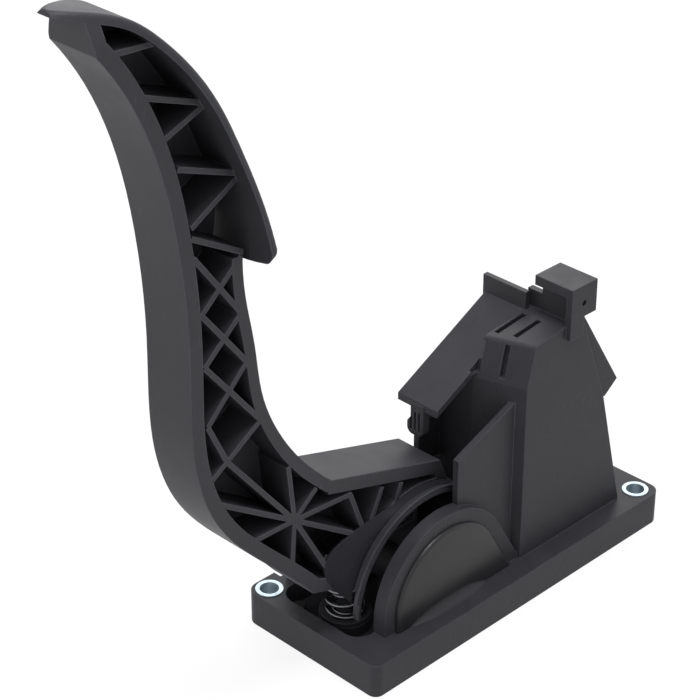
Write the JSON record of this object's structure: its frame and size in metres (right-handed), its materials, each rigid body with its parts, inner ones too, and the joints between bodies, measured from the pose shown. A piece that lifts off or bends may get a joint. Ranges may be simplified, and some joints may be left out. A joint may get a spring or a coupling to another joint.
{
  "type": "accelerator pedal",
  "caption": "Floor-mounted electronic accelerator pedal: ribbed curved arm with a foot plate, sprung hub on a flanged base and an upright sensor tower with a plug socket.",
  "frame": {"origin": "centre of the base plate's mounting face", "axes": "+Z away from the mounting face, +X along the base from the arm's side to the tower, +Y across the base away from the sensor cover"},
  "size_m": [0.2968, 0.078, 0.3181],
  "materials": {
    "housing_plastic": "black glass-filled nylon, fine moulded grain",
    "arm_plastic": "black glass-filled nylon, fine moulded grain",
    "zinc_steel": "bright zinc plate",
    "ground_steel": "ground",
    "spring_steel": "drawn wire, light oil",
    "bearing_plastic": "natural acetal",
    "rubber": "matt",
    "circuit_board": "solder mask",
    "chip_plastic": "moulded",
    "magnet": "nickel plated",
    "plated_brass": "tin and gold plate"
  },
  "bodies": {
    "base": {"base_housing": "housing_plastic", "compression_sleeves": "zinc_steel", "bush_front": "bearing_plastic", "bush_back": "bearing_plastic", "return_spring_outer": "spring_steel", "return_spring_inner": "spring_steel", "spring_seat": "bearing_plastic", "idle_stop": "rubber", "full_stop": "rubber", "sensor_cover": "housing_plastic", "sensor_board": "circuit_board", "hall_chips": "chip_plastic", "tower_cover": "housing_plastic", "cover_seal": "rubber", "cover_screws": "zinc_steel", "connector_pins": "plated_brass"},
    "arm": {"pedal_arm": "arm_plastic", "pivot_shaft": "ground_steel", "shaft_clip": "spring_steel", "friction_washer": "bearing_plastic", "wave_washer": "spring_steel", "spring_cup": "bearing_plastic", "magnet_rotor": "bearing_plastic", "sensor_magnet": "magnet"}
  },
  "joints": [
    {"name": "pedal_travel", "type": "hinge", "parent": "base", "child": "arm", "pos_m": [-0.039, 0.003, 0.022], "axis": [0, -1, 0], "range_deg": [0, 15], "stiffness_Nm_per_rad": 19, "springref_deg": -14.9, "deforming": ["return_spring_outer", "return_spring_inner"]}
  ]
}
